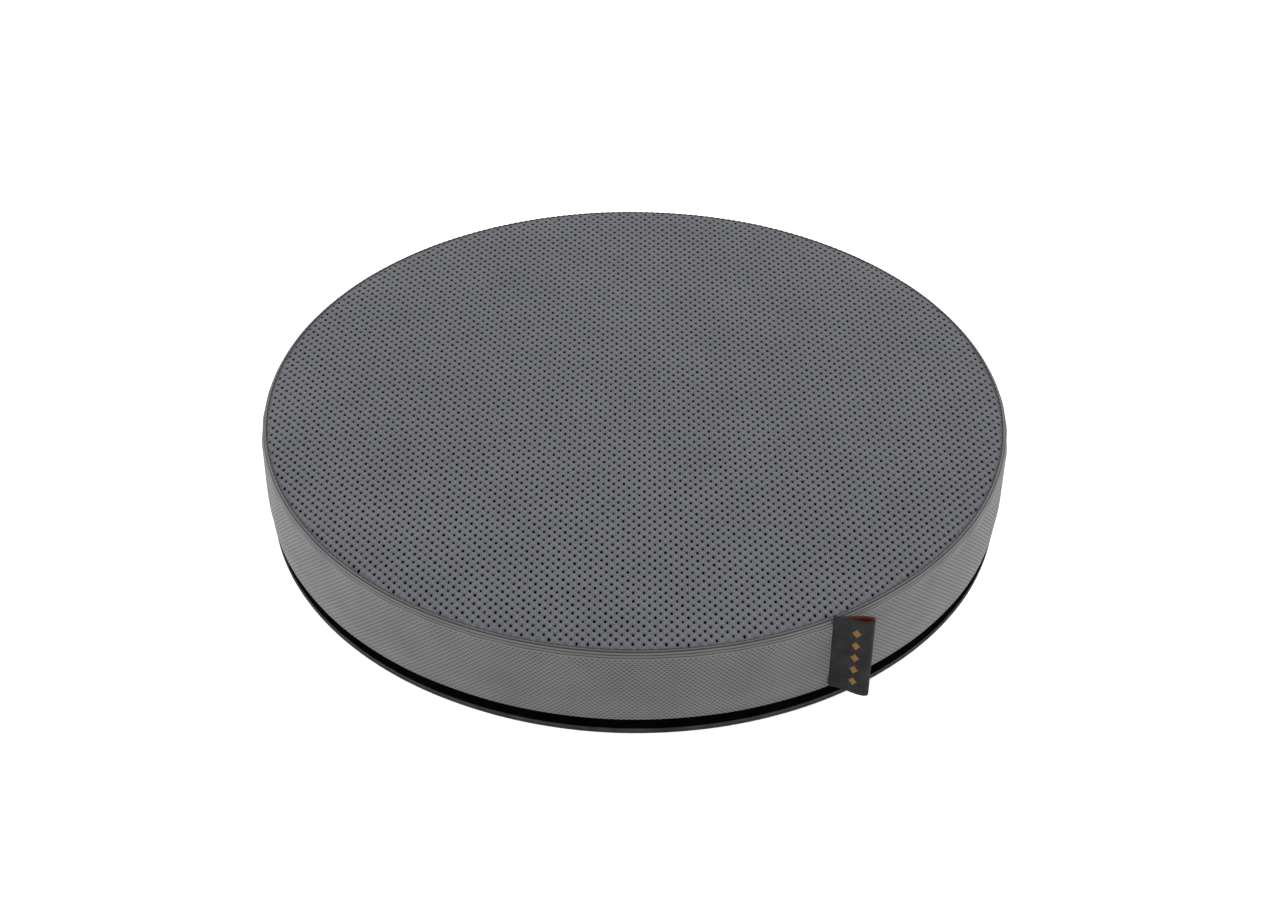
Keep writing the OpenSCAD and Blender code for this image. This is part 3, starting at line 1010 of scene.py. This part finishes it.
def make_foot(hem_paint, panel_paint, dot_paint):
    revolved("hem_rolls", hem_profile(), 240, [hem_paint], spread=lambda a, h: 0.5 * outline_drift(a),
             body="base", slot="hem", replaced=("hem_binding",))
    make_underside(panel_paint, dot_paint)


def make_underside(panel_paint, dot_paint):
    """Grip fabric: a cloth panel with rows of low rubber dots that touch the floor."""
    radius, _, top = high("bottom_panel")
    cloth, dot_r, pitch = 0.35 * MM, 1.5 * MM, 8 * MM
    panel = [(0, cloth), (radius - 0.3 * MM, cloth), (radius, cloth + 0.2 * MM), (radius, top), (0, top)]
    weld(revolved("grip_panel", panel, 180, [panel_paint], body="base", slot="grip_fabric",
                  replaced=("bottom_panel",)))
    rings = [(1.0, cloth + 0.05 * MM), (0.95, 0.12 * MM), (0.6, 0.02 * MM)]
    shape, sides = Shape(), 10
    rows = int(radius / (pitch * 0.866)) + 1
    for row in range(-rows, rows + 1):
        for column in range(-rows - 2, rows + 3):
            x, y = (column + 0.5 * (row % 2)) * pitch, row * pitch * 0.866
            if math.hypot(x, y) > radius - 3 * MM:
                continue
            turns = [TURN * k / sides for k in range(sides)]
            points = [(x + dot_r * share * math.cos(t), y + dot_r * share * math.sin(t), z)
                      for share, z in rings for t in turns]
            faces = []
            for a in (0, sides):
                for k in range(sides):
                    after = (k + 1) % sides
                    faces.append((a + after, a + k, a + sides + k, a + sides + after))
            faces.append(tuple(range(sides)))
            faces.append(tuple(reversed(range(2 * sides, 3 * sides))))
            shape.add(points, faces)
    finish_piece("grip_dots", shape.points, shape.faces, [dot_paint], body="base", slot="grip_fabric")


def repaint(node, paint):
    """Gives a CAD node its finished material."""
    piece = frame["nodes"][node]
    piece.data.materials.clear()
    piece.data.materials.append(paint)


# ---------------------------------------------------------------- label
LABEL_LOW = low("label")[2] + 1.8 * MM
LABEL_HIGH = high("label")[2] + 1.9 * MM
LABEL_LONG = 17.6 * MM
LABEL_SEWN = WIDE_R - 0.5 * MM
LABEL_HEADING = math.radians(-6.5)
RIBBON_T = 0.45 * MM


def spline(knots, steps):
    """A smooth open curve through knots, with steps points between each pair."""
    knots = np.asarray(knots, dtype=float)
    ends = np.vstack([2 * knots[0] - knots[1], knots, 2 * knots[-1] - knots[-2]])
    out = []
    for a, b, c, d in zip(ends, ends[1:], ends[2:], ends[3:]):
        for t in np.linspace(0, 1, steps, endpoint=False):
            out.append(0.5 * (2 * b + (c - a) * t + (2 * a - 5 * b + 4 * c - d) * t ** 2
                              + (3 * b - a - 3 * c + d) * t ** 3))
    out.append(knots[-1])
    return np.array(out)


def label_path():
    """The label's loop seen from above, in (along, outwards) from its sewn edge."""
    front = [(0.0, 0.25), (3.2, 0.35), (7.0, 0.9), (11.5, 1.9), (15.5, 2.1), (17.8, 1.2)]
    back = [(18.3, -0.2), (17.0, -1.3), (13.0, -1.55), (8.0, -0.9), (3.4, -0.3), (0.0, -0.25)]
    return spline(np.array(front + back) * LABEL_LONG / 18.3, 6)


def label_place(path_point, height):
    """A point of the label in the frame. Its far edge droops, and swings to the front lower down."""
    share = np.clip(path_point[0] / LABEL_LONG, 0, 1)
    level = (height - LABEL_LOW) / (LABEL_HIGH - LABEL_LOW)
    heading = LABEL_HEADING - math.radians(4.5) * (1 - level) * share
    along = np.array([math.cos(heading), math.sin(heading)])
    outwards = np.array([along[1], -along[0]])
    droop = -1.7 * MM * share ** 1.3 * (1 - level) + 0.3 * MM * share * level
    lean = 0.5 * MM * share * math.sin(3.0 * level + 0.4)
    sewn = np.array(PIVOT["label_flap"][:2])
    sewn = sewn * LABEL_SEWN / np.linalg.norm(sewn)
    flat = sewn + path_point[0] * along + (path_point[1] + lean) * outwards
    return (flat[0], flat[1], height + droop)


def make_label(outside, inside, motif_paint):
    path = label_path()
    heading = np.gradient(path, axis=0)
    heading /= np.linalg.norm(heading, axis=1, keepdims=True)
    normal = np.column_stack([-heading[:, 1], heading[:, 0]])
    rows = 30
    heights = np.linspace(LABEL_LOW, LABEL_HIGH, rows)
    loop = np.concatenate([path + normal * RIBBON_T / 2, (path - normal * RIBBON_T / 2)[::-1]])
    points = np.array([[label_place(point, height) for point in loop] for height in heights])
    faces, steps = grid_faces(rows, len(loop), False, True)
    faces = [tuple(face) for face in faces]
    count, half = len(loop), len(path)
    for base in (0, (rows - 1) * count):
        for k in range(half - 1):
            cap = (base + k, base + k + 1, base + count - 2 - k, base + count - 1 - k)
            faces.append(cap if base else cap[::-1])
    spacing = np.array([0.5, (LABEL_HIGH - LABEL_LOW) / MM / rows])
    cap_corners = 2 * 4 * (half - 1)
    uvs = np.concatenate([(steps * spacing).reshape(-1, 2), np.zeros((cap_corners, 2))])
    label = finish_piece("label_ribbon", points.reshape(-1, 3), faces, [outside, inside], body="label",
                         slot="label_fabric", replaced=("label",), uvs=uvs)
    for polygon in label.data.polygons:
        corner = min(polygon.vertices[i] % count for i in range(4))
        polygon.material_index = 1 if half - 1 <= corner < count - 1 and polygon.index < len(steps) else 0
    make_motif(path, normal, motif_paint)


def make_motif(path, normal, paint):
    """Five small satin-stitched lozenges down the label's front."""
    reach = np.concatenate([[0], np.cumsum(np.linalg.norm(np.diff(path, axis=0), axis=1))])
    middle, wide, tall, lozenges, threads = 10.6 * MM, 2.1 * MM, 4.2 * MM, 5, 9
    strands = []
    for k in range(lozenges):
        centre = LABEL_LOW + (LABEL_HIGH - LABEL_LOW) * (0.17 + 0.165 * k)
        for t in range(threads):
            share = (t - (threads - 1) / 2) / (threads / 2)
            half = wide * (1 - abs(share))
            spots = np.linspace(middle - half, middle + half, 6)
            strand = []
            for spot in spots:
                point = [np.interp(spot, reach, path[:, axis]) for axis in range(2)]
                side = [np.interp(spot, reach, normal[:, axis]) for axis in range(2)]
                raised = np.array(point) + np.array(side) * (RIBBON_T / 2 + 0.05 * MM)
                strand.append(label_place(raised, centre + share * tall / 2))
            strands.append(np.array(strand))
    capsules("label_motif", strands, 0.26 * MM, paint, body="label", slot="label_fabric")


# ---------------------------------------------------------------- inside: foam parts and air cell
def make_inside(soft, firm, film, rubber, plastic):
    """The foam parts, with soft cut edges, and the air cell."""
    pad_low, pad_high = low("base_pad"), high("base_pad")
    disc_pad("base_foam", pad_high[0], pad_low[2], pad_high[2], 1.2 * MM, firm, "base", "firm_foam",
             "base_pad")
    soft_low, soft_high = low("comfort_pad"), high("comfort_pad")
    disc_pad("comfort_foam", soft_high[0], soft_low[2], soft_high[2], 2.2 * MM, soft, "seat", "soft_foam",
             "comfort_pad")
    make_foam_ring(firm)
    make_air_cell(film)
    repaint("valve_body", rubber)
    repaint("valve_plug", plastic)


def arc_block(shape, inner, outer, bottom, top, opening):
    """A ring of foam, or a C shape where opening is the half angle left out at +Y."""
    columns = 180
    closed = opening == 0
    start = math.pi / 2 + opening
    angles = start + np.linspace(0, TURN - 2 * opening, columns, endpoint=not closed)
    profile = [(outer, bottom), (outer, top), (inner, top), (inner, bottom)]
    rows = []
    for a, b in zip(profile, profile[1:] + profile[:1]):
        rows.extend((a[0] + (b[0] - a[0]) * t, a[1] + (b[1] - a[1]) * t) for t in np.linspace(0, 1, 4)[:-1])
    points = [(r * math.cos(a), r * math.sin(a), z) for r, z in rows for a in angles]
    faces = grid_faces(len(rows), columns, True, closed)[0]
    faces = [tuple(int(i) for i in face) for face in faces]
    if not closed:
        faces.append(tuple(k * columns for k in reversed(range(len(rows)))))
        faces.append(tuple(k * columns + columns - 1 for k in range(len(rows))))
    shape.add(points, faces)


def make_foam_ring(paint):
    """Three rings round the air cell, one for each joint, with the valve's pocket at the back."""
    bottom, top = low("edge_foam")[2], high("edge_foam")[2]
    outer = high("edge_foam")[0]
    inner, foot = outer - 16.9 * MM, outer - 3.2 * MM
    valve_z = (low("valve_body")[2] + high("valve_body")[2]) / 2
    pocket_low, pocket_high, opening = valve_z - 11 * MM, valve_z + 13.6 * MM, 13 * MM / outer
    levels = [bottom, bottom + 8.3 * MM, bottom + 20.55 * MM, top]
    parts = (((inner, foot, bottom, pocket_low, 0), (inner, foot, pocket_low, levels[1], opening)),
             ((inner, outer, levels[1], levels[2], opening),),
             ((inner, outer, levels[2], pocket_high, opening), (inner, outer, pocket_high, top, 0)))
    for name, blocks, pair, start, end in zip(("foam_ring_low", "foam_ring_middle", "foam_ring_high"),
                                              parts, BODY_PAIRS, levels, levels[1:]):
        shape = Shape()
        for block in blocks:
            arc_block(shape, *block)
        ring = finish_piece(name, shape.points, shape.faces, [paint], slot="firm_foam",
                            replaced=("edge_foam",), smooth=False)
        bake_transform(ring)


def cell_wall(flat_z, weld_z, thickness):
    """The profile of one wall of the air cell: flat, then a shoulder down or up to the welded rim."""
    flat_r, shoulder_r, rim_r = 108 * MM, 149 * MM, high("cell_upper_sheet")[0]
    line = [(0, flat_z), (flat_r * 0.5, flat_z)]
    for t in np.linspace(0, 1, 17):
        line.append((flat_r + (shoulder_r - flat_r) * t,
                     flat_z + (weld_z - flat_z) * (1 - math.cos(math.pi * t)) / 2))
    line.append((rim_r, weld_z))
    return line + [(r, z + thickness) for r, z in reversed(line)]


def make_air_cell(film):
    """Two welded sheets. The upper one is in two rings."""
    lower_low, lower_high = low("cell_lower_sheet")[2], high("cell_lower_sheet")[2]
    upper_low, upper_high = low("cell_upper_sheet")[2], high("cell_upper_sheet")[2]
    wall = 0.9 * MM
    lower = weld(revolved("cell_wall_lower", cell_wall(lower_low, lower_high - wall, wall), 160, [film],
                          slot="cell_sheet", replaced=("cell_lower_sheet",)))
    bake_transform(lower)
    split = (upper_low + upper_high) / 2
    profile = cell_wall(upper_high - wall, upper_low, wall)
    half = len(profile) // 2
    outside, inside = profile[:half], profile[half:][::-1]
    cut = next(k for k, point in enumerate(outside) if point[1] < split)
    rim = outside[cut:] + inside[cut:][::-1]
    crown = outside[:cut + 1] + inside[:cut + 1][::-1]
    side = revolved("cell_wall_shoulder", rim, 160, [film], slot="cell_sheet", replaced=("cell_upper_sheet",))
    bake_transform(side)
    top = weld(revolved("cell_wall_crown", crown, 160, [film], slot="cell_sheet",
                        replaced=("cell_upper_sheet",)))
    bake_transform(top)


def disc_pad(name, radius, bottom, top, corner, paint, body, slot, node):
    """A round foam pad with rounded edges, closed at the middle."""
    crown = 0.3 * MM
    profile = ([(0, bottom)] + arc_points((radius - corner, bottom + corner), corner, -90, 0, 6)
               + arc_points((radius - corner, top - crown - corner), corner, 0, 90, 6)
               + [(radius * 0.8, top - crown * 0.3), (radius * 0.5, top), (0, top)])
    pad = weld(revolved(name, profile, 144, [paint], body=body, slot=slot, replaced=(node,)))


# ---------------------------------------------------------------- the scene
make_camera()
make_studio()
swell = Swell()

seat_paint = seat_knit()
band_paint = band_knit()
tape_paint = ribbed("black_tape", grey(0.0006), grey(0.0022), 0.7 * MM, 0.05 * MM, 0.0, 0.0)
hem_paint = ribbed("hem_cloth", grey(0.012), grey(0.045), 0.5 * MM, 0.06 * MM, 0.04, 0.2)
# The holes' walls get a near-black cloth: painted shade inside the holes.
make_seat_fabric(seat_paint, plain_cloth("hole_walls_painted_shade", grey(0.008), grey(0.03)))
make_liner(plain_cloth("black_liner", grey(0.001), grey(0.003)))
make_allowance(plain_cloth("turned_edge", grey(0.006), grey(0.02)))
band_pieces = make_side_band(band_paint)
make_top_seam(thread("seam_thread", grey(0.004), grey(0.02)))
make_foot(hem_paint, plain_cloth("grip_cloth", grey(0.006), grey(0.016), 0.6 * MM, 0.05),
          moulded("grip_rubber", grey(0.012), grey(0.03), 0.6))
make_zip(tape_paint, moulded("nylon_coil", grey(0.004), grey(0.012), 0.4),
         moulded("zip_metal", grey(0.01), grey(0.05), 0.35, 0.3, metal=0.3))
make_label(ribbon("label_outside", (0.008, 0.0084, 0.0088), (0.020, 0.021, 0.022), 0.0),
           ribbon("label_inside", (0.07, 0.010, 0.004), (0.16, 0.026, 0.010), 0.05),
           thread("motif_thread", (0.12, 0.052, 0.004), (0.28, 0.13, 0.012)))
make_inside(foam("soft_foam", (0.45, 0.42, 0.33), (0.74, 0.71, 0.6), 1.1 * MM),
            foam("firm_foam", (0.05, 0.055, 0.06), (0.12, 0.125, 0.135), 0.8 * MM),
            moulded("cell_film", (0.02, 0.11, 0.22), (0.04, 0.19, 0.34), 0.3, 0.4),
            moulded("valve_rubber", (0.012, 0.07, 0.14), (0.03, 0.12, 0.22), 0.45),
            moulded("plug_plastic", (0.62, 0.62, 0.58), (0.8, 0.8, 0.76), 0.35, 0.2))
